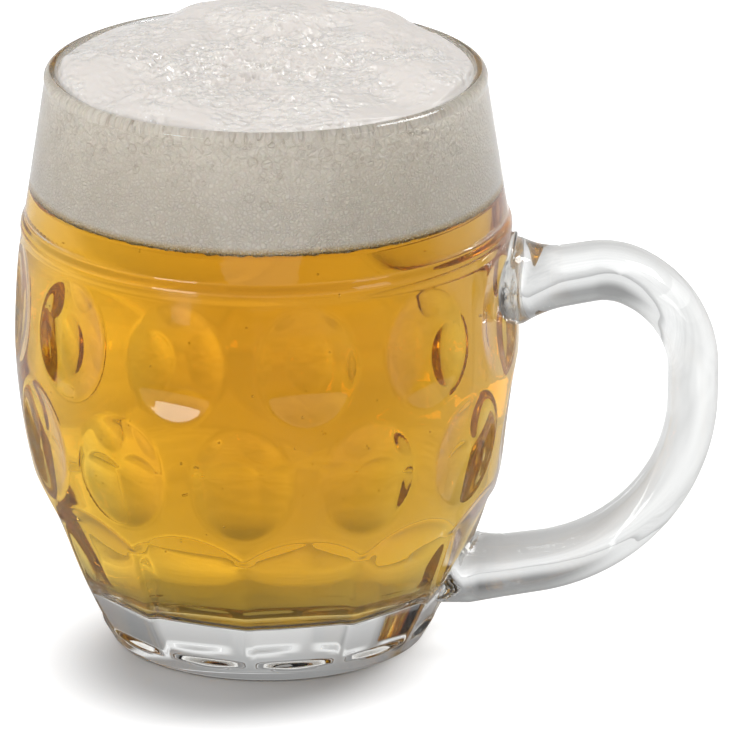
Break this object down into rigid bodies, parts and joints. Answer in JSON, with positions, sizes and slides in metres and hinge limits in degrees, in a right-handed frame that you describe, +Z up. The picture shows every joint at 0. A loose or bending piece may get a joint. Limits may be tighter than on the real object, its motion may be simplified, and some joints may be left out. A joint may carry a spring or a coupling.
{
  "type": "beer mug",
  "caption": "Pressed-glass beer mug with thumbprint dimples, arch-topped panels and a solid loop handle, filled with lager under a crown of foam.",
  "frame": {"origin": "on the mug's axis at the face of its foot, where it stands on the table", "axes": "+Z up along the mug's axis, +X from the axis towards the handle"},
  "size_m": [0.1449, 0.1038, 0.1253],
  "materials": {
    "clear_glass": "fire-polished clear pressed glass",
    "lager": "clear golden liquid",
    "foam": "fine wet foam with larger bubbles at the rim"
  },
  "bodies": {
    "root": {"glass_body": "clear_glass", "handle": "clear_glass", "beer": "lager", "foam_head": "foam"}
  },
  "joints": []
}
